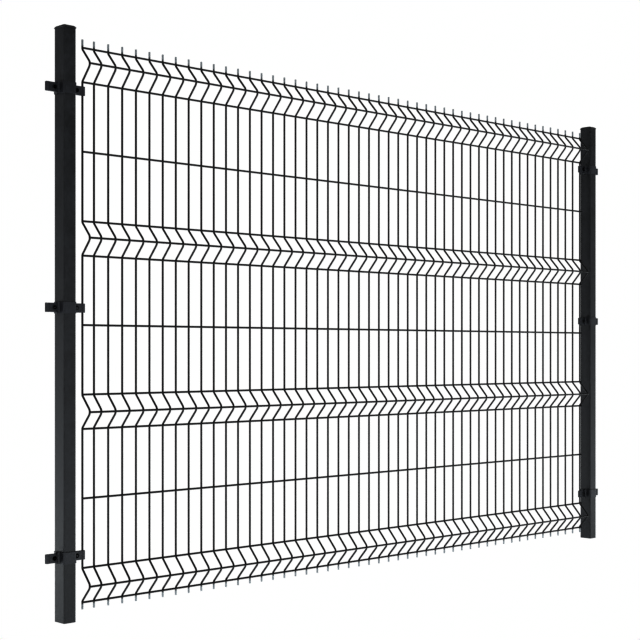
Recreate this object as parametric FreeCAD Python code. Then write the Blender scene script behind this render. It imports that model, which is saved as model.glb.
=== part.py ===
import FreeCAD, Part

import math
import os

# One bay of a welded mesh fence: a folded wire panel held between two posts by six clamps.
# Millimetres. X runs along the fence from the left post, Y goes to the back, Z is up.
# The origin is the middle of the left post's foot.

# Posts
post_spacing = 2557.0
post_width = 40.0
post_depth = 50.0
post_headroom = 22.0
post_wall = 2.0
post_radius = 4.0

# Post caps
cap_overhang = 2.2
cap_rim = 2.5
cap_rise = 5.5
cap_ledge = 2.0
cap_crown_width = 22.0
cap_crown_depth = 30.0
cap_plug_depth = 16.0
cap_plug_wall = 1.8
cap_plug_clearance = 0.2

# Wire mesh
wire_diameter = 5.0
wire_pitch = 50.0
end_pitch = 40.0
end_wire_offset = 58.5
lowest_wire_level = 49.0
fold_height = 99.0
fold_depth = 41.0
straight_mesh = 200.0
fold_count = 4
top_spike = 25.0
bottom_spike = 21.0
section_names = ("left_half", "right_half")

# Clamps
low_clamp_rise = 37.0
middle_clamp_rise = 49.0
top_clamp_drop = 25.0
clamp_thickness = 2.0
clamp_body_height = 36.0
clamp_wing_height = 26.0
clamp_clearance = 0.2
wing_gap = 3.0
wing_tip = 6.5
seat_clearance = 0.15

# Clamp bolts
bolt_neck = 6.0
bolt_hole_clearance = 0.3
bolt_head_diameter = 13.0
bolt_head_height = 3.0
nut_width = 10.0
nut_height = 5.0
bolt_overhang = 2.0

# A square bar with the area of the round wire stands for it
bar = wire_diameter * math.sqrt(math.pi) / 2
half_bar = bar / 2
seat_radius = half_bar * math.sqrt(2) + seat_clearance
# A bevel with this share of a corner's radius touches the round corner at its middle
corner_share = 2 - math.sqrt(2)
first_wire = end_wire_offset
last_wire = post_spacing - end_wire_offset
wing_reach = end_wire_offset + wing_tip


def fold_base(index):
    return lowest_wire_level + index * (fold_height + 2 * straight_mesh)


# The posts stand a little above the spikes, and the clamps grip the straight stretches
mesh_top = fold_base(fold_count - 1) + fold_height + top_spike
post_height = mesh_top + post_headroom
middle_level = fold_base(fold_count // 2) - straight_mesh + middle_clamp_rise
clamp_levels = {
    "low": fold_base(0) + fold_height + low_clamp_rise,
    "middle": middle_level,
    "top": fold_base(fold_count - 1) - top_clamp_drop,
}


def outline_face(points):
    return Part.Face(Part.makePolygon(points + points[:1]))


def centred_box(width, depth, height, base):
    return Part.makeBox(width, depth, height, FreeCAD.Vector(-width / 2, -depth / 2, base))


def upright_edges(block):
    return [edge for edge in block.Edges if abs(edge.tangentAt(edge.FirstParameter).z) > 0.9]


def rounded_block(width, depth, height, radius, base):
    block = centred_box(width, depth, height, base)
    return block.makeFillet(radius, upright_edges(block))


def bevelled_block(width, depth, height, bevel, base):
    block = centred_box(width, depth, height, base)
    return block.makeChamfer(bevel, upright_edges(block))


def make_post():
    tube = rounded_block(post_width, post_depth, post_height, post_radius, 0)
    bore_width = post_width - 2 * post_wall
    bore_depth = post_depth - 2 * post_wall
    bore_bevel = (post_radius - post_wall) * corner_share
    return tube.cut(bevelled_block(bore_width, bore_depth, post_height, bore_bevel, 0))


def make_post_cap():
    # A rim that oversails the tube, four shallow slopes up to a flat crown, and a hollow plug
    width = post_width + 2 * cap_overhang
    depth = post_depth + 2 * cap_overhang
    radius = post_radius + cap_overhang
    rim_top = post_height + cap_rim
    rim = rounded_block(width, depth, cap_rim, radius, post_height)
    foot_x = width / 2 - cap_ledge
    foot_y = depth / 2 - cap_ledge
    crown_x = cap_crown_width / 2
    crown_y = cap_crown_depth / 2
    hood = Part.makeWedge(
        -foot_x, 0, -foot_y, -crown_y, -crown_x, foot_x, cap_rise, foot_y, crown_y, crown_x,
    )
    hood.rotate(FreeCAD.Vector(), FreeCAD.Vector(1, 0, 0), 90)
    hood.translate(FreeCAD.Vector(0, 0, rim_top))
    plug_width = post_width - 2 * (post_wall + cap_plug_clearance)
    plug_depth = post_depth - 2 * (post_wall + cap_plug_clearance)
    plug_bevel = (post_radius - post_wall) * corner_share
    plug_base = post_height - cap_plug_depth
    plug = bevelled_block(plug_width, plug_depth, cap_plug_depth, plug_bevel, plug_base)
    hollow_width = plug_width - 2 * cap_plug_wall
    hollow_depth = plug_depth - 2 * cap_plug_wall
    plug = plug.cut(centred_box(hollow_width, hollow_depth, cap_plug_depth, plug_base))
    return rim.fuse([hood, plug]).removeSplitter()


# The front of each upright is straight over the height of a crosswire, and bends at its edges
slope = math.atan2(fold_depth, fold_height / 2 - bar)
knee_shift = half_bar * (1 + math.tan(slope / 2))
nose_shift = half_bar * (1 - math.tan(slope / 2))


def upright_path():
    # Middle line of an upright in Y and Z, from its bottom end to its top end
    path = [(0, fold_base(0) - bottom_spike)]
    for i in range(fold_count):
        base = fold_base(i)
        nose = base + fold_height / 2
        path.append((0, base + knee_shift))
        path.append((-fold_depth, nose - nose_shift))
        path.append((-fold_depth, nose + nose_shift))
        path.append((0, base + fold_height - knee_shift))
    path.append((0, mesh_top))
    return path


def crosswire_places():
    # Level and back face of each crosswire, which lies on the front of the uprights
    places = []
    for i in range(fold_count):
        base = fold_base(i)
        places.append((base, -half_bar))
        places.append((base + fold_height / 2, -fold_depth - half_bar))
        places.append((base + fold_height, -half_bar))
        if i < fold_count - 1:
            places.append((base + fold_height + straight_mesh, -half_bar))
    return places


def offset_side(path, distance):
    # The path runs upwards, and its left side faces the front
    headings = []
    for start, end in zip(path, path[1:]):
        headings.append(math.atan2(end[1] - start[1], end[0] - start[0]))
    side = []
    for i, (y, z) in enumerate(path):
        heading_in = headings[max(i - 1, 0)]
        heading_out = headings[min(i, len(headings) - 1)]
        normal = (heading_in + heading_out + math.pi) / 2
        reach = distance / math.cos((heading_out - heading_in) / 2)
        side.append((y + reach * math.cos(normal), z + reach * math.sin(normal)))
    return side


def make_upright(x):
    path = upright_path()
    outline = offset_side(path, half_bar) + offset_side(path, -half_bar)[::-1]
    points = [FreeCAD.Vector(x - half_bar, y, z) for y, z in outline]
    return outline_face(points).extrude(FreeCAD.Vector(bar, 0, 0))


def make_crosswire(level, back_face, start, end):
    corner = FreeCAD.Vector(start, back_face - bar, level - half_bar)
    return Part.makeBox(end - start, bar, bar, corner)


def upright_places():
    count = int(round((last_wire - first_wire - end_pitch) / wire_pitch))
    return [first_wire] + [last_wire - i * wire_pitch for i in range(count, -1, -1)]


def make_mesh_section(places, start, end):
    crosswires = [make_crosswire(level, back, start, end) for level, back in crosswire_places()]
    uprights = [make_upright(x) for x in places]
    return crosswires[0].fuse(crosswires[1:] + uprights)


def mesh_sections():
    places = upright_places()
    share = math.ceil(len(places) / len(section_names))
    sections = []
    for i, name in enumerate(section_names):
        chosen = places[i * share:(i + 1) * share]
        start = chosen[0] - (wire_pitch / 2 if i else half_bar)
        is_last = i == len(section_names) - 1
        end = chosen[-1] + (half_bar if is_last else wire_pitch / 2)
        sections.append((name, make_mesh_section(chosen, start, end)))
    return sections


def clamp_band():
    # Closed band around the post with two wings, before it is parted at the middle
    height = clamp_body_height
    base = -height / 2
    inner_width = post_width + 2 * clamp_clearance
    inner_depth = post_depth + 2 * clamp_clearance
    outer_width = inner_width + 2 * clamp_thickness
    outer_depth = inner_depth + 2 * clamp_thickness
    inner_bevel = post_radius * corner_share
    outer_bevel = inner_bevel + clamp_thickness * corner_share
    body = bevelled_block(outer_width, outer_depth, height, outer_bevel, base)
    wing_depth = wing_gap + 2 * clamp_thickness
    solid = body.fuse(centred_box(2 * wing_reach, wing_depth, height, base))
    for x in (-end_wire_offset, end_wire_offset):
        solid = solid.fuse(seat_hump(x, height))
    solid = solid.cut(bevelled_block(inner_width, inner_depth, height, inner_bevel, base))
    solid = solid.cut(centred_box(2 * wing_reach, wing_gap, height, base))
    for x in (-end_wire_offset, end_wire_offset):
        middle = FreeCAD.Vector(x, 0, base)
        solid = solid.cut(Part.makeCylinder(seat_radius, height, middle))
    return solid


def regular_points(middle, radius, sides, along):
    # Corners of a regular polygon whose flats face up and down
    points = []
    for i in range(sides):
        angle = 2 * math.pi * (i + 0.5) / sides
        u = radius * math.cos(angle)
        v = radius * math.sin(angle)
        offset = FreeCAD.Vector(u, v, 0) if along == "z" else FreeCAD.Vector(u, 0, v)
        points.append(middle + offset)
    return points


def seat_hump(x, height):
    radius = (seat_radius + clamp_thickness) / math.cos(math.pi / 8)
    points = regular_points(FreeCAD.Vector(x, 0, -height / 2), radius, 8, "z")
    return outline_face(points).extrude(FreeCAD.Vector(0, 0, height))


def clamp_elevation():
    # Seen from the front the wings are lower than the body and slope into it
    body_half = clamp_body_height / 2
    wing_half = clamp_wing_height / 2
    step_start = post_width / 2 + clamp_clearance + clamp_thickness
    step_end = step_start + (body_half - wing_half)
    right = [(step_start, body_half), (step_end, wing_half), (wing_reach, wing_half)]
    right += [(x, -z) for x, z in right[::-1]]
    left = [(-x, -z) for x, z in right]
    points = [FreeCAD.Vector(x, -post_depth, z) for x, z in right + left]
    return outline_face(points).extrude(FreeCAD.Vector(0, 2 * post_depth, 0))


def bolt_places():
    wing_start = post_width / 2 + clamp_clearance + clamp_thickness
    wing_end = end_wire_offset - seat_radius - clamp_thickness
    middle = (wing_start + wing_end) / 2
    return (-middle, middle)


def square_bar(x, start, end, side):
    corner = FreeCAD.Vector(x - side / 2, start, -side / 2)
    return Part.makeBox(side, end - start, side, corner)


def make_clamp_shells():
    solid = clamp_band().common(clamp_elevation())
    hole = bolt_neck + 2 * bolt_hole_clearance
    for x in bolt_places():
        solid = solid.cut(square_bar(x, -post_depth, post_depth, hole))
    halves = sorted(solid.Solids, key=lambda half: half.CenterOfMass.y)
    return halves[0], halves[-1]


def prism(x, start, end, radius, sides):
    points = regular_points(FreeCAD.Vector(x, start, 0), radius, sides, "y")
    return outline_face(points).extrude(FreeCAD.Vector(0, end - start, 0))


def make_bolt(x):
    # Low head at the front, square neck through both halves, nut and thread end at the back
    wing_face = wing_gap / 2 + clamp_thickness
    head_start = -wing_face - bolt_head_height
    head = prism(x, head_start, -wing_face, bolt_head_diameter / 2, 8)
    neck = square_bar(x, -wing_face, wing_face, bolt_neck)
    nut_end = wing_face + nut_height
    nut = prism(x, wing_face, nut_end, nut_width / math.sqrt(3), 6)
    thread = prism(x, nut_end, nut_end + bolt_overhang, bolt_neck / 2, 8)
    return head.fuse([neck, nut, thread])


def export(shape, name, place=(0, 0, 0)):
    copy = shape.copy()
    copy.translate(FreeCAD.Vector(*place))
    copy.exportStep("parts/" + name + ".step")
    print(name, len(copy.Solids), "solids", "valid" if copy.isValid() else "not valid")


os.makedirs("parts", exist_ok=True)

post = make_post()
post_cap = make_post_cap()
front_shell, back_shell = make_clamp_shells()
bolt_pair = Part.makeCompound([make_bolt(x) for x in bolt_places()])

for side, x in (("left", 0), ("right", post_spacing)):
    export(post, side + "_post", (x, 0, 0))
    export(post_cap, side + "_post_cap", (x, 0, 0))
    for height_name, level in clamp_levels.items():
        clamp_name = side + "_" + height_name + "_clamp_"
        export(front_shell, clamp_name + "front", (x, 0, level))
        export(back_shell, clamp_name + "back", (x, 0, level))
        export(bolt_pair, clamp_name + "bolts", (x, 0, level))

for name, section in mesh_sections():
    export(section, "mesh_" + name)
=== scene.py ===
import math

import bmesh
import bpy
from mathutils import Matrix, Vector


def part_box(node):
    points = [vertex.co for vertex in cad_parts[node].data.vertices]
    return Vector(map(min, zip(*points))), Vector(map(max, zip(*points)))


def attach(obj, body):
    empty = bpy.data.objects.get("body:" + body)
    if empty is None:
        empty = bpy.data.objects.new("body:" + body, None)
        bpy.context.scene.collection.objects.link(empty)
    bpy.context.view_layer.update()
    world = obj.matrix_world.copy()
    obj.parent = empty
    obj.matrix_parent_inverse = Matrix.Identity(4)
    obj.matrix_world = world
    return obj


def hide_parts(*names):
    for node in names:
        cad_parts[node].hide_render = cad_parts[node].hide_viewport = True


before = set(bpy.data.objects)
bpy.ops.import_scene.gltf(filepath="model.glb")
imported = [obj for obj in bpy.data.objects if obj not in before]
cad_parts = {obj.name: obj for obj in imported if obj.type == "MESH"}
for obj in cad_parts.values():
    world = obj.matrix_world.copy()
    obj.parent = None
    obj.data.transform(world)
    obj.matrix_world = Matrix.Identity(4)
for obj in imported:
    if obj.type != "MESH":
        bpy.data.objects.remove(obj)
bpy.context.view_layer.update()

acrossX = Vector((1, 0, 0))
acrossY = Vector((0, 1, 0))
upZ = Vector((0, 0, 1))
quarterTurn = math.pi / 2
mergeGap = 0.000005  # verts closer than this are one
print("frame loaded")


# Small helpers

def hexToLinear(code):
    channels = [int(code[i:i + 2], 16) / 255 for i in (0, 2, 4)]
    linear = [c / 12.92 if c <= 0.04045 else ((c + 0.055) / 1.055) ** 2.4 for c in channels]
    return (*linear, 1.0)


def emptyTree(block):
    block.use_nodes = True
    block.node_tree.nodes.clear()
    return block.node_tree


def addNode(tree, kind, inputs=None, **settings):
    # Adds one node; an input is a value or the output socket that feeds it
    node = tree.nodes.new(kind)
    for name, value in settings.items():
        setattr(node, name, value)
    for name, value in (inputs or {}).items():
        if isinstance(value, bpy.types.NodeSocket):
            tree.links.new(value, node.inputs[name])
        else:
            node.inputs[name].default_value = value
    return node


def onlyVerts(items):
    return [item for item in items if isinstance(item, bmesh.types.BMVert)]


def onlyFaces(items):
    return [item for item in items if isinstance(item, bmesh.types.BMFace)]


def newestEdges(items):
    verts = set(onlyVerts(items))
    edges = [item for item in items if isinstance(item, bmesh.types.BMEdge)]
    return [edge for edge in edges if edge.verts[0] in verts and edge.verts[1] in verts]


def followPath(bm, edges, place, heading, axis, moves):
    # Draws an edge or a ring along straight runs and along turns about the axis
    for move in moves:
        if move[0] == "run":
            made = bmesh.ops.extrude_edge_only(bm, edges=edges)["geom"]
            bmesh.ops.translate(bm, verts=onlyVerts(made), vec=heading * move[1])
            place = place + heading * move[1]
        else:
            angle, radius, steps = move[1:]
            centre = place + axis.cross(heading) * math.copysign(radius, angle)
            verts = list({vert for edge in edges for vert in edge.verts})
            made = bmesh.ops.spin(
                bm, geom=verts + edges, cent=centre, axis=axis, angle=angle, steps=steps
            )["geom_last"]
            swing = Matrix.Rotation(angle, 3, axis)
            heading = swing @ heading
            place = centre + swing @ (place - centre)
        edges = newestEdges(made)
    return edges


def roundEdges(bm, edges, offset, clamp=False):
    bmesh.ops.bevel(
        bm, geom=edges, offset=offset, segments=2, profile=0.5, affect="EDGES", material=-1,
        clamp_overlap=clamp,
    )


def closeEnd(bm, edges, rounding):
    # Flat cut end with its edge rounded by the coat
    bmesh.ops.edgeloop_fill(bm, edges=edges)
    roundEdges(bm, edges, rounding)


def roundedFace(bm, width, depth, radius, height, segments):
    # Level rectangle with round corners, the only face of an empty mesh
    made = bmesh.ops.create_grid(bm, x_segments=1, y_segments=1, size=0.5)
    verts = made["verts"]
    bmesh.ops.scale(bm, verts=verts, vec=(width, depth, 1))
    bmesh.ops.translate(bm, verts=verts, vec=(0, 0, height))
    bmesh.ops.bevel(
        bm, geom=verts, offset=radius, segments=segments, profile=0.5, affect="VERTICES",
        material=-1,
    )
    return bm.faces[:]


def raiseFaces(bm, faces, rise, keep=False):
    made = bmesh.ops.extrude_face_region(bm, geom=faces, use_keep_orig=keep)["geom"]
    bmesh.ops.translate(bm, verts=onlyVerts(made), vec=(0, 0, rise))
    return onlyFaces(made)


def bevelCreases(bm, degrees, offset, above=-math.inf):
    # Rounds each edge above a level where the faces turn by more than the given angle
    limit = math.radians(degrees)
    edges = [
        edge for edge in bm.edges
        if edge.is_manifold and edge.calc_face_angle() > limit and edge.verts[0].co.z > above
    ]
    roundEdges(bm, edges, offset, clamp=True)


def addObject(name, data):
    item = bpy.data.objects.new(name, data)
    bpy.context.scene.collection.objects.link(item)
    return item


def addMeshObject(name, bm, material):
    mesh = bpy.data.meshes.new(name)
    bm.to_mesh(mesh)
    bm.free()
    mesh.materials.append(material)
    return addObject(name, mesh)


def finishPiece(bm, name, material, nodes, place=(0, 0, 0), smoothSides=4):
    # Makes the piece from a copy of the mesh, so that one shape can be placed many times.
    # A face with more sides than smoothSides is shaded flat.
    copy = bm.copy()
    bmesh.ops.translate(copy, verts=copy.verts, vec=place)
    bmesh.ops.remove_doubles(copy, verts=copy.verts, dist=mergeGap)
    bmesh.ops.recalc_face_normals(copy, faces=copy.faces)
    for face in copy.faces:
        face.smooth = len(face.verts) <= smoothSides
    piece = addMeshObject(name, copy, material)
    if smoothSides > 4:
        piece.modifiers.new("flatFacesStayFlat", "WEIGHTED_NORMAL")
    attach(piece, "root")
    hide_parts(*nodes)


# Materials

# Drift is the slow change in tone that dust and handling leave, mottle is the cured coat's own,
# drawn as coarse as it needs to show, and peel is the orange peel or spark texture at its real size
coatPatterns = {
    "drift": {"Detail": 3.0, "Roughness": 0.55},
    "mottle": {"Detail": 2.0, "Roughness": 0.6},
    "peel": {"Detail": 1.0, "Roughness": 0.5},
}
coatBlend = (0.7, 1.3)  # drift and mottle added up run from dark to light between these
coatIor = 1.5
bumpShare = 0.1  # height of a bump as a share of its size


def makeCoat(name, look, lighterEnds=None):
    material = bpy.data.materials.new(name)
    tree = emptyTree(material)
    place = addNode(tree, "ShaderNodeTexCoord").outputs["Object"]
    drift, mottle, peel = [
        addNode(tree, "ShaderNodeTexNoise", {
            "Vector": place, "Scale": 1 / look[pattern], **noise,
        }).outputs["Fac"]
        for pattern, noise in coatPatterns.items()
    ]
    blend = addNode(tree, "ShaderNodeMath", {0: drift, 1: mottle}, operation="ADD").outputs[0]
    darkest, lightest = coatBlend
    tone = addNode(tree, "ShaderNodeMapRange", {
        "Value": blend, "From Min": darkest, "From Max": lightest, "To Min": 0.0, "To Max": 1.0,
    }).outputs["Result"]
    colour = addNode(tree, "ShaderNodeMix", {
        "Factor": tone, "A": hexToLinear(look["dark"]), "B": hexToLinear(look["light"]),
    }, data_type="RGBA").outputs["Result"]
    if lighterEnds:
        # Towards the cut ends above and below the mesh the colour turns to a lighter grey
        height = addNode(tree, "ShaderNodeSeparateXYZ", {"Vector": place}).outputs["Z"]
        for untinted, tinted in lighterEnds["levels"]:
            share = addNode(tree, "ShaderNodeMapRange", {
                "Value": height, "From Min": untinted, "From Max": tinted,
                "To Min": 0.0, "To Max": lighterEnds["share"],
            }).outputs["Result"]
            colour = addNode(tree, "ShaderNodeMix", {
                "Factor": share, "A": colour, "B": hexToLinear(lighterEnds["endGrey"]),
            }, data_type="RGBA").outputs["Result"]
    glossiest, dullest = look["roughness"]
    roughness = addNode(tree, "ShaderNodeMapRange", {
        "Value": blend, "From Min": darkest, "From Max": lightest,
        "To Min": glossiest, "To Max": dullest,
    }).outputs["Result"]
    coarse = addNode(tree, "ShaderNodeBump", {
        "Height": mottle, "Strength": look["mottleBump"], "Distance": look["mottle"] * bumpShare,
    }).outputs["Normal"]
    fine = addNode(tree, "ShaderNodeBump", {
        "Height": peel, "Normal": coarse,
        "Strength": look["peelBump"], "Distance": look["peel"] * bumpShare,
    }).outputs["Normal"]
    shader = addNode(tree, "ShaderNodeBsdfPrincipled", {
        "Base Color": colour, "Roughness": roughness, "Normal": fine, "IOR": coatIor,
        "Specular IOR Level": look["specular"],
    })
    addNode(tree, "ShaderNodeOutputMaterial", {"Surface": shader.outputs["BSDF"]})
    return material


# In each look the sizes of the patterns are in metres

# Polyester powder coat on steel tube, sprayed and baked: satin, near black, with a fine orange peel
postCoat = makeCoat("satinPowderCoatOnTube", {
    "dark": "131416", "light": "252629", "drift": 0.10, "mottle": 0.010, "peel": 0.0012,
    "roughness": (0.40, 0.52), "mottleBump": 0.25, "peelBump": 0.2, "specular": 0.5,
})
# The same coat over galvanised wire, less shiny on the small radius, with a colour darker than the
# tube's as painted shade
wireCoatPaintedDark = makeCoat("satinPowderCoatOnWirePaintedDark", {
    "dark": "0b0b0c", "light": "141415", "drift": 0.25, "mottle": 0.003, "peel": 0.0008,
    "roughness": (0.42, 0.55), "mottleBump": 0.2, "peelBump": 0.2, "specular": 0.32,
}, lighterEnds={"endGrey": "767a7c", "share": 0.9, "levels": ((1.648, 1.656), (0.046, 0.040))})
# Pressed steel clamps with the same coat, more uneven and painted lighter than the tube: painted
# light over their corner shade
clampCoatPaintedLight = makeCoat("satinPowderCoatOnPressedSteelPaintedLight", {
    "dark": "1f2023", "light": "303135", "drift": 0.05, "mottle": 0.003, "peel": 0.001,
    "roughness": (0.38, 0.52), "mottleBump": 0.25, "peelBump": 0.2, "specular": 0.45,
})
# Black passivated bolts: harder and glossier than the powder
boltCoat = makeCoat("blackPassivatedSteel", {
    "dark": "151516", "light": "242527", "drift": 0.02, "mottle": 0.0015, "peel": 0.0005,
    "roughness": (0.30, 0.42), "mottleBump": 0.15, "peelBump": 0.15, "specular": 0.5,
})
# Injection moulded polyethylene: matte, with a fine spark texture
capPlastic = makeCoat("mouldedPolyethylene", {
    "dark": "141415", "light": "1c1c1e", "drift": 0.04, "mottle": 0.002, "peel": 0.0006,
    "roughness": (0.5, 0.62), "mottleBump": 0.2, "peelBump": 0.3, "specular": 0.4,
})
print("materials made")


# Camera, floor and light

photoView = {
    "place": (-2.20398, -3.32416, 0.77114),
    "turn": -44.0447,  # degrees round the upright axis; the camera looks level
    "lens": 77.340,
    "sensor": 36.0,
    "shiftUp": 0.04919,
}


def makeCamera():
    data = bpy.data.cameras.new("photoCamera")
    data.lens = photoView["lens"]
    data.sensor_width = photoView["sensor"]
    data.shift_y = photoView["shiftUp"]
    camera = addObject("photoCamera", data)
    camera.location = photoView["place"]
    camera.rotation_euler = (quarterTurn, 0, math.radians(photoView["turn"]))
    bpy.context.scene.camera = camera


studio = {
    "floorSize": 120.0,
    "floorTone": "f7f7f5",
    "floorCloud": 0.8,  # scale of the floor's faint unevenness
    "floorCloudDetail": 2.0,
    "floorRoughness": (0.75, 0.9),
    "glowTone": "eef4f8",
    "floorGlow": 2.6,
    "farGlow": 2.0,
    "glowMiddle": (0.0, -1.2, 0.0),
    "glowReach": (2.0, 40.0),
    "stripGlow": 1.05,
    "stripMiddle": 1.2,  # how far before and behind the fence the strips lie
    "stripReach": (0.3, 0.9),
    "backdropTone": "ffffff",
    "backdropLight": 1.0,
    "windowSide": (-0.9, -0.43, 0.0),
    "windowLight": 0.75,
    "farLight": 0.7,
    "windowSpread": (-0.9, 0.9),  # spreads are cosines of the angle to the light's direction
    "topLight": 0.8,
    "topSpread": (0.3, 0.9),
    "shadeLight": 0.08,  # share of the light that is left behind the fence
    "shadeSpread": (0.6, 0.92),
    "gamma": 0.5,
}


def makeFloorCoat():
    floorCoat = bpy.data.materials.new("paleStudioFloor")
    tree = emptyTree(floorCoat)
    place = addNode(tree, "ShaderNodeTexCoord").outputs["Object"]
    cloud = addNode(tree, "ShaderNodeTexNoise", {
        "Vector": place, "Scale": studio["floorCloud"], "Detail": studio["floorCloudDetail"],
    }).outputs["Fac"]
    glossiest, dullest = studio["floorRoughness"]
    rough = addNode(tree, "ShaderNodeMapRange", {
        "Value": cloud, "To Min": glossiest, "To Max": dullest,
    }).outputs["Result"]
    # The floor glows most round the fence and a little less far away
    away = addNode(tree, "ShaderNodeVectorMath", {
        0: place, 1: studio["glowMiddle"],
    }, operation="SUBTRACT").outputs[0]
    reach = addNode(tree, "ShaderNodeVectorMath", {0: away}, operation="LENGTH").outputs["Value"]
    nearFence, farOut = studio["glowReach"]
    glow = addNode(tree, "ShaderNodeMapRange", {
        "Value": reach, "From Min": nearFence, "From Max": farOut,
        "To Min": studio["floorGlow"], "To Max": studio["farGlow"],
    }, interpolation_type="SMOOTHSTEP").outputs["Result"]
    # Brighter strips of floor before and behind the fence light its posts most at half height
    across = addNode(tree, "ShaderNodeSeparateXYZ", {"Vector": place}).outputs["Y"]
    depth = addNode(tree, "ShaderNodeMath", {0: across}, operation="ABSOLUTE").outputs[0]
    aside = addNode(tree, "ShaderNodeMath", {
        0: depth, 1: studio["stripMiddle"],
    }, operation="SUBTRACT").outputs[0]
    aside = addNode(tree, "ShaderNodeMath", {0: aside}, operation="ABSOLUTE").outputs[0]
    fullGlow, noGlow = studio["stripReach"]
    strip = addNode(tree, "ShaderNodeMapRange", {
        "Value": aside, "From Min": fullGlow, "From Max": noGlow,
        "To Min": studio["stripGlow"], "To Max": 0.0,
    }, interpolation_type="SMOOTHSTEP").outputs["Result"]
    glow = addNode(tree, "ShaderNodeMath", {0: glow, 1: strip}, operation="ADD").outputs[0]
    shader = addNode(tree, "ShaderNodeBsdfPrincipled", {
        "Base Color": hexToLinear(studio["floorTone"]), "Roughness": rough,
        "Emission Color": hexToLinear(studio["glowTone"]), "Emission Strength": glow,
    }).outputs["BSDF"]
    plain = addNode(tree, "ShaderNodeEmission", {
        "Color": hexToLinear(studio["backdropTone"]), "Strength": studio["backdropLight"],
    }).outputs[0]
    seen = addNode(tree, "ShaderNodeLightPath").outputs["Is Camera Ray"]
    mix = addNode(tree, "ShaderNodeMixShader", {0: seen, 1: shader, 2: plain})
    addNode(tree, "ShaderNodeOutputMaterial", {"Surface": mix.outputs["Shader"]})
    return floorCoat


def makeFloor():
    bm = bmesh.new()
    bmesh.ops.create_grid(bm, x_segments=1, y_segments=1, size=studio["floorSize"] / 2)
    floor = addMeshObject("studioFloor", bm, makeFloorCoat())


def makeDome():
    # A white backdrop and a soft dome of light: a little brighter on the window side than on the
    # other, brightest above and dark behind the fence
    world = bpy.data.worlds.new("studioLight")
    tree = emptyTree(world)
    turn = math.radians(photoView["turn"])
    behind = (-math.sin(turn), math.cos(turn), 0)
    ray = addNode(tree, "ShaderNodeTexCoord").outputs["Generated"]
    # Each level runs smoothly from one value to another as a ray turns to its direction
    levels = []
    for direction, spread, away, towards in (
        (studio["windowSide"], studio["windowSpread"], studio["farLight"], studio["windowLight"]),
        (upZ, studio["topSpread"], 0.0, studio["topLight"]),
        (behind, studio["shadeSpread"], 1.0, studio["shadeLight"]),
    ):
        nearness = addNode(tree, "ShaderNodeVectorMath", {
            0: ray, 1: direction,
        }, operation="DOT_PRODUCT").outputs["Value"]
        levels.append(addNode(tree, "ShaderNodeMapRange", {
            "Value": nearness, "From Min": spread[0], "From Max": spread[1],
            "To Min": away, "To Max": towards,
        }, interpolation_type="SMOOTHSTEP").outputs["Result"])
    side, top, shade = levels
    both = addNode(tree, "ShaderNodeMath", {0: side, 1: top}, operation="ADD").outputs[0]
    strength = addNode(tree, "ShaderNodeMath", {0: both, 1: shade}, operation="MULTIPLY").outputs[0]
    dome, backdrop = [
        addNode(tree, "ShaderNodeBackground", {
            "Color": hexToLinear(studio["backdropTone"]), "Strength": light,
        }).outputs[0]
        for light in (strength, studio["backdropLight"])
    ]
    seen = addNode(tree, "ShaderNodeLightPath").outputs["Is Camera Ray"]
    mix = addNode(tree, "ShaderNodeMixShader", {0: seen, 1: dome, 2: backdrop})
    addNode(tree, "ShaderNodeOutputWorld", {"Surface": mix.outputs["Shader"]})
    bpy.context.scene.world = world
    bpy.context.scene.view_settings.view_transform = "Standard"
    bpy.context.scene.view_settings.gamma = studio["gamma"]


makeCamera()
makeFloor()
makeDome()
print("camera, floor and light made")


# Welded mesh: bent uprights, straight crosswires in front of them and a weld at each crossing

meshWires = {
    "diameter": 0.0057,  # with its coat
    "sides": 12,
    "firstUpright": 0.0585,
    "secondUpright": 0.0985,
    "lastUpright": 2.4985,
    "pitch": 0.050,
    "crosswireStart": 0.0563,
    "lowestCrosswire": 0.049,
    "foldHeight": 0.099,
    "foldReach": 0.0371,
    "noseRadius": 0.0145,
    "noseSteps": 6,
    "kneeRadius": 0.008,
    "kneeSteps": 3,
    "kneeRise": 0.0030,
    "slopeTries": 20,
    "straightMesh": 0.200,
    "folds": 4,
    "spikeAbove": 0.025,
    "spikeBelow": 0.021,
    "endRounding": 0.0006,
    "weldSink": 0.0004,
    "weldSize": (0.0040, 0.0022, 0.0040),
    "weldSegments": (8, 4),
}


def uprightMoves(w):
    # The slope of a fold is found by steps, because the round nose takes a part of its depth
    rise = w["foldHeight"] / 2 - w["kneeRise"]
    slope = math.atan2(w["foldReach"], rise)
    for _ in range(w["slopeTries"]):
        depth = w["foldReach"] + w["noseRadius"] * (1 / math.cos(slope) - 1)
        slope = math.atan2(depth, rise)
    kneeReach = w["kneeRadius"] * math.tan(slope / 2)
    noseReach = w["noseRadius"] * math.tan(slope)
    slant = rise / math.cos(slope) - kneeReach - noseReach
    knee = ("turn", slope, w["kneeRadius"], w["kneeSteps"])
    nose = ("turn", -2 * slope, w["noseRadius"], w["noseSteps"])
    fold = [knee, ("run", slant), nose, ("run", slant), knee]
    straight = ("run", 2 * (w["straightMesh"] + w["kneeRise"] - kneeReach))
    moves = [("run", w["spikeBelow"] + w["kneeRise"] - kneeReach)]
    for i in range(w["folds"]):
        moves += fold
        if i < w["folds"] - 1:
            moves.append(straight)
    moves.append(("run", w["spikeAbove"] + w["kneeRise"] - kneeReach))
    return moves


def crosswireLevels(w):
    # Level of each crosswire and the place of its middle in front of the uprights' middle plane
    front = w["weldSink"] - w["diameter"]
    levels = []
    for i in range(w["folds"]):
        base = w["lowestCrosswire"] + i * (w["foldHeight"] + 2 * w["straightMesh"])
        levels.append((base, front))
        levels.append((base + w["foldHeight"] / 2, front - w["foldReach"]))
        levels.append((base + w["foldHeight"], front))
        if i < w["folds"] - 1:
            levels.append((base + w["foldHeight"] + w["straightMesh"], front))
    return levels


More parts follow.
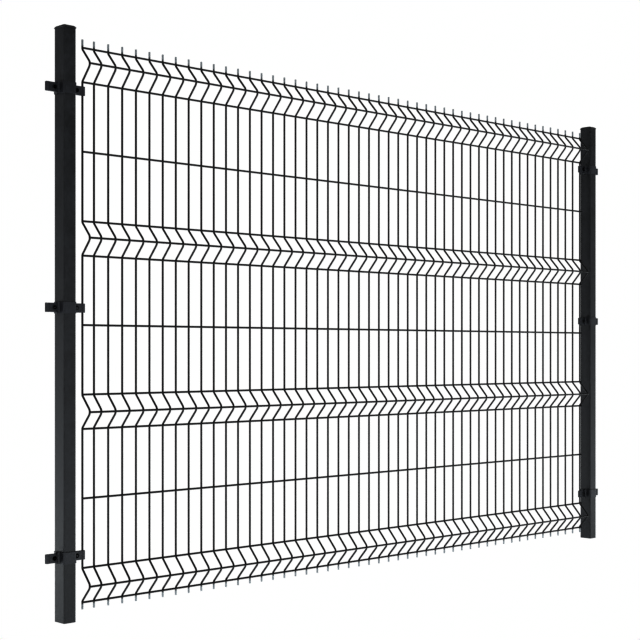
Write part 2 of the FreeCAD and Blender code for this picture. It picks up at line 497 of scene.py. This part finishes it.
def drawWire(bm, start, heading, axis, moves, w):
    turn = heading.to_track_quat("Z", "Y").to_matrix().to_4x4()
    ring = bmesh.ops.create_circle(
        bm, cap_ends=False, segments=w["sides"], radius=w["diameter"] / 2,
        matrix=Matrix.Translation(start) @ turn,
    )["verts"]
    first = list({edge for vert in ring for edge in vert.link_edges})
    last = followPath(bm, first, Vector(start), heading, axis, moves)
    closeEnd(bm, first, w["endRounding"])
    closeEnd(bm, last, w["endRounding"])


def makeMesh(w):
    bm = bmesh.new()
    bottom = w["lowestCrosswire"] - w["spikeBelow"]
    drawWire(bm, (w["secondUpright"], 0, bottom), upZ, acrossX, uprightMoves(w), w)
    around, upwards = w["weldSegments"]
    for level, y in crosswireLevels(w):
        weldY = y + w["diameter"] / 2 - w["weldSink"] / 2
        place = Matrix.Translation((w["secondUpright"], weldY, level))
        size = Matrix.Diagonal((*w["weldSize"], 1))
        bmesh.ops.create_uvsphere(
            bm, u_segments=around, v_segments=upwards, radius=0.5, matrix=place @ size
        )
    upright = bm.verts[:] + bm.edges[:] + bm.faces[:]
    length = w["lastUpright"] + w["firstUpright"] - 2 * w["crosswireStart"]
    for level, y in crosswireLevels(w):
        drawWire(bm, (w["crosswireStart"], y, level), acrossX, upZ, [("run", length)], w)
    # The first mesh at the left end is narrower than the rest
    first = bmesh.ops.duplicate(bm, geom=upright)["geom"]
    back = acrossX * (w["firstUpright"] - w["secondUpright"])
    bmesh.ops.translate(bm, verts=onlyVerts(first), vec=back)
    steps = round((w["lastUpright"] - w["secondUpright"]) / w["pitch"])
    bmesh.ops.spin(
        bm, geom=upright, cent=(0, 0, 0), axis=upZ, dvec=acrossX * w["pitch"], angle=0,
        steps=steps, use_duplicate=True,
    )
    halves = ["mesh_left_half", "mesh_right_half"]
    finishPiece(bm, "weldedMesh", wireCoatPaintedDark, halves)
    print("mesh:", steps + 2, "uprights,", len(bm.faces), "faces")
    bm.free()


makeMesh(meshWires)


# Posts: rectangular tubes, open at the foot

postTube = {
    "wall": 0.002,
    "cornerRadius": 0.004,
    "cornerSegments": 8,
    "endCrease": 60,  # degrees
    "endRounding": 0.0004,
    "smoothSides": 40,
}


def makePosts(p):
    low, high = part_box("left_post")
    size = high - low
    bm = bmesh.new()
    end = roundedFace(bm, size.x, size.y, p["cornerRadius"], low.z, p["cornerSegments"])
    bmesh.ops.inset_region(
        bm, faces=end, thickness=p["wall"], use_even_offset=True, use_boundary=True
    )
    inner = min(bm.faces, key=lambda item: item.calc_center_median().xy.length)
    bmesh.ops.delete(bm, geom=[inner], context="FACES_ONLY")
    raiseFaces(bm, bm.faces[:], size.z, keep=True)
    bevelCreases(bm, p["endCrease"], p["endRounding"])
    for side in ("left", "right"):
        node = side + "_post"
        low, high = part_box(node)
        middle = (low + high) / 2
        finishPiece(
            bm, side + "PostTube", postCoat, [node],
            (middle.x, middle.y, 0), p["smoothSides"],
        )
    bm.free()
    print("posts made")


makePosts(postTube)


# Caps: a rim over the tube, four slopes up to a flat crown, and a hollow plug in the tube

postCap = {
    "rim": 0.0025,
    "cornerRadius": 0.0062,
    "cornerSegments": 8,
    "ledge": 0.0015,
    "crown": (0.023, 0.024),
    "crownSteps": 4,
    "edgeCrease": 20,  # degrees
    "edgeRounding": 0.0006,
    "sharpRise": 0.001,  # the rim's lower edge stays sharp up to here
    "plugGap": 0.0044,
    "plugWall": 0.0018,
    "plugDepth": 0.0158,
}


def makeCaps(c):
    low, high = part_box("left_post_cap")
    size = high - low
    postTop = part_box("left_post")[1].z
    bm = bmesh.new()
    base = roundedFace(bm, size.x, size.y, c["cornerRadius"], postTop, c["cornerSegments"])
    top = raiseFaces(bm, base, c["rim"], keep=True)
    bmesh.ops.inset_region(bm, faces=top, thickness=c["ledge"], use_even_offset=True)
    # The slopes bulge a little: each step rises less and leans in more than the one before
    rise = size.z - (postTop - low.z) - c["rim"]
    foot = (size.x - 2 * c["ledge"], size.y - 2 * c["ledge"])
    crown = top
    for i in range(c["crownSteps"]):
        before = quarterTurn * i / c["crownSteps"]
        after = quarterTurn * (i + 1) / c["crownSteps"]
        crown = raiseFaces(bm, crown, rise * (math.sin(after) - math.sin(before)))
        shrink = [
            (end + (start - end) * math.cos(after)) / (end + (start - end) * math.cos(before))
            for start, end in zip(foot, c["crown"])
        ]
        crownVerts = {vert for item in crown for vert in item.verts}
        bmesh.ops.scale(bm, verts=list(crownVerts), vec=(*shrink, 1))
    bevelCreases(bm, c["edgeCrease"], c["edgeRounding"], above=postTop + c["sharpRise"])
    under = min(bm.faces, key=lambda item: item.calc_center_median().z)
    bmesh.ops.inset_region(bm, faces=[under], thickness=c["plugGap"], use_even_offset=True)
    plug = raiseFaces(bm, [under], -c["plugDepth"])
    bmesh.ops.inset_region(bm, faces=plug, thickness=c["plugWall"], use_even_offset=True)
    raiseFaces(bm, plug, c["plugDepth"])
    for side in ("left", "right"):
        node = side + "_post_cap"
        low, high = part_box(node)
        middle = (low + high) / 2
        finishPiece(
            bm, side + "PostCap", capPlastic, [node], (middle.x, middle.y, 0)
        )
    bm.free()
    print("caps made")


makeCaps(postCap)


# Clamps: two pressed halves around the post, bolted together through their wings

clampHalf = {
    "thickness": 0.002,
    "bodyHeight": 0.033,
    "wingHeight": 0.026,
    "stepStart": 0.0286,
    "stepEnd": 0.0306,
    "stepSlack": 0.0001,  # the verts at the step's end belong to the wing
    "bodyInside": (0.0202, 0.0252),
    "bodyRadius": 0.0042,
    "bodySteps": 6,
    "footRadius": 0.008,
    "footSteps": 8,
    "wingPlane": 0.0015,
    "wingEnd": 0.065,
    "seatMiddle": 0.0585,
    "seatRadius": 0.00295,
    "seatSteps": 8,
    "bendRadius": 0.003,
    "bendSteps": 3,
    "edgeCrease": 50,  # degrees
    "edgeRounding": 0.0004,
    "mergeGap": 0.00001,
    "smoothSides": 8,
}


def clampMoves(c):
    # One wing from its tip to the middle of the front, along the face that meets the other half
    bend = c["bendRadius"]
    reach = c["seatRadius"] + bend
    drop = c["wingPlane"] + bend
    swing = math.acos(drop / reach)
    half = math.sqrt(reach * reach - drop * drop)
    outOfWing = ("turn", -swing, bend, c["bendSteps"])
    seat = ("turn", 2 * swing, c["seatRadius"], c["seatSteps"])
    bodyX, bodyY = c["bodyInside"]
    return [
        ("run", c["wingEnd"] - c["seatMiddle"] - half),
        outOfWing, seat, outOfWing,
        ("run", c["seatMiddle"] - half - c["stepEnd"]),
        ("run", c["stepEnd"] - c["stepStart"]),
        ("run", c["stepStart"] - bodyX - c["footRadius"]),
        ("turn", -quarterTurn, c["footRadius"], c["footSteps"]),
        ("run", bodyY - c["wingPlane"] - c["footRadius"] - c["bodyRadius"]),
        ("turn", quarterTurn, c["bodyRadius"], c["bodySteps"]),
        ("run", bodyX - c["bodyRadius"]),
    ]


def makeClampHalf(c):
    bm = bmesh.new()
    start = Vector((-c["wingEnd"], -c["wingPlane"], 0))
    bottom = bm.verts.new(start - upZ * c["bodyHeight"] / 2)
    top = bm.verts.new(start + upZ * c["bodyHeight"] / 2)
    edge = bm.edges.new((bottom, top))
    followPath(bm, [edge], start, acrossX, upZ, clampMoves(c))
    # The wings are lower than the body and slope into it between the two ends of the step
    wingVerts = [vert for vert in bm.verts if -vert.co.x > c["stepEnd"] - c["stepSlack"]]
    bmesh.ops.scale(bm, verts=wingVerts, vec=(1, 1, c["wingHeight"] / c["bodyHeight"]))
    oneSide = bm.verts[:] + bm.edges[:] + bm.faces[:]
    bmesh.ops.mirror(bm, geom=oneSide, merge_dist=c["mergeGap"], axis="X")
    bmesh.ops.remove_doubles(bm, verts=bm.verts, dist=c["mergeGap"])
    bmesh.ops.recalc_face_normals(bm, faces=bm.faces)
    middle = min(bm.faces, key=lambda face: face.calc_center_median().y)
    if middle.normal.y > 0:
        bmesh.ops.reverse_faces(bm, faces=bm.faces)
    bmesh.ops.solidify(bm, geom=bm.faces[:], thickness=-c["thickness"])
    bmesh.ops.recalc_face_normals(bm, faces=bm.faces)
    bevelCreases(bm, c["edgeCrease"], c["edgeRounding"])
    return bm


clampBolt = {
    "middle": 0.0377,
    "headDiameter": 0.013,
    "headHeight": 0.003,
    "headSides": 24,
    "headRings": 6,
    "headFlat": 0.1,  # share of a ring's step that is left off, so that the top is no point
    "neck": 0.006,
    "wingFace": 0.0035,
    "nutSides": 6,
    "nutAcross": 0.010,
    "nutHeight": 0.005,
    "nutRounding": 0.0006,
    "threadSides": 16,
    "threadPitch": 0.001,
    "threadDepth": 0.0004,
    "overhang": 0.002,
    "neckOverlap": 0.0005,  # how far the neck reaches into the head and the nut
    "threadOverlap": 0.001,  # how far the thread end reaches into the nut
    "smoothSides": 5,
}


def addBoltHead(bm, b, turn):
    # Low dome: each ring is a step of angle on from the last round a quarter ellipse
    rim = bmesh.ops.create_circle(
        bm, cap_ends=True, segments=b["headSides"], radius=b["headDiameter"] / 2,
        matrix=Matrix.Translation(-acrossY * b["wingFace"]) @ turn,
    )["verts"]
    face = rim[0].link_faces[0]
    step = quarterTurn / b["headRings"]
    for i in range(b["headRings"]):
        rise = math.sin(step * (i + 1)) - math.sin(step * i)
        before = math.cos(step * max(i - b["headFlat"], 0))
        shrink = math.cos(step * (i + 1 - b["headFlat"])) / before
        made = bmesh.ops.extrude_face_region(bm, geom=[face], use_keep_orig=i == 0)["geom"]
        verts = onlyVerts(made)
        face = onlyFaces(made)[0]
        bmesh.ops.translate(bm, verts=verts, vec=-acrossY * rise * b["headHeight"])
        bmesh.ops.scale(bm, verts=verts, vec=(shrink, 1, shrink))


def addNut(bm, b, turn):
    halfSide = math.pi / b["nutSides"]
    pointUp = Matrix.Rotation(halfSide, 4, "Z")
    nut = bmesh.ops.create_circle(
        bm, cap_ends=True, segments=b["nutSides"], radius=b["nutAcross"] / 2 / math.cos(halfSide),
        matrix=Matrix.Translation(acrossY * b["wingFace"]) @ turn @ pointUp,
    )["verts"]
    made = bmesh.ops.extrude_face_region(
        bm, geom=[nut[0].link_faces[0]], use_keep_orig=True
    )["geom"]
    bmesh.ops.translate(bm, verts=onlyVerts(made), vec=acrossY * b["nutHeight"])
    nutVerts = set(nut) | set(onlyVerts(made))
    roundEdges(bm, list({edge for vert in nutVerts for edge in vert.link_edges}), b["nutRounding"])


def addThreadEnd(bm, b, turn):
    # A ring that goes on by half a pitch at a time, smaller in each groove
    start = b["wingFace"] + b["nutHeight"] - b["threadOverlap"]
    thread = bmesh.ops.create_circle(
        bm, cap_ends=False, segments=b["threadSides"], radius=b["neck"] / 2,
        matrix=Matrix.Translation(acrossY * start) @ turn,
    )["verts"]
    ring = list({edge for vert in thread for edge in vert.link_edges})
    closed = ring
    groove = 1 - b["threadDepth"] / (b["neck"] / 2)
    steps = round(2 * (b["overhang"] + b["threadOverlap"]) / b["threadPitch"])
    for i in range(steps):
        ring = followPath(bm, ring, Vector(), acrossY, upZ, [("run", b["threadPitch"] / 2)])
        size = groove if i % 2 == 0 else 1 / groove
        verts = list({vert for edge in ring for vert in edge.verts})
        bmesh.ops.scale(bm, verts=verts, vec=(size, 1, size))
    bmesh.ops.edgeloop_fill(bm, edges=closed)
    bmesh.ops.edgeloop_fill(bm, edges=ring)


def makeBoltPair(b):
    # Low domed head at the front, square neck, nut and thread end at the back
    bm = bmesh.new()
    turn = Matrix.Rotation(quarterTurn, 4, "X")  # local Z points to the front
    addBoltHead(bm, b, turn)
    neckLength = 2 * (b["wingFace"] + b["neckOverlap"])
    bmesh.ops.create_cube(bm, size=1, matrix=Matrix.Diagonal((b["neck"], neckLength, b["neck"], 1)))
    addNut(bm, b, turn)
    addThreadEnd(bm, b, turn)
    bolt = bm.verts[:] + bm.edges[:] + bm.faces[:]
    copies = bmesh.ops.duplicate(bm, geom=bolt)["geom"]
    bmesh.ops.translate(bm, verts=onlyVerts(copies), vec=acrossX * b["middle"])
    bmesh.ops.translate(bm, verts=onlyVerts(bolt), vec=-acrossX * b["middle"])
    return bm


def makeClamps():
    frontHalf = makeClampHalf(clampHalf)
    backHalf = frontHalf.copy()
    halfTurn = Matrix.Rotation(math.pi, 3, "Z")
    bmesh.ops.rotate(backHalf, verts=backHalf.verts, cent=(0, 0, 0), matrix=halfTurn)
    bolts = makeBoltPair(clampBolt)
    for side in ("left", "right"):
        for height in ("low", "middle", "top"):
            stem = side + "_" + height + "_clamp_"
            low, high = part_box(stem + "front")
            place = ((low.x + high.x) / 2, 0, (low.z + high.z) / 2)
            title = side + height.capitalize() + "Clamp"
            for bm, part, material, slotName, look in (
                (frontHalf, "front", clampCoatPaintedLight, "clamp_powder_coat", clampHalf),
                (backHalf, "back", clampCoatPaintedLight, "clamp_powder_coat", clampHalf),
                (bolts, "bolts", boltCoat, "bolt_coat", clampBolt),
            ):
                finishPiece(
                    bm, title + part.capitalize(), material, [stem + part],
                    place, look["smoothSides"],
                )
    frontHalf.free()
    backHalf.free()
    bolts.free()
    print("clamps made")


makeClamps()
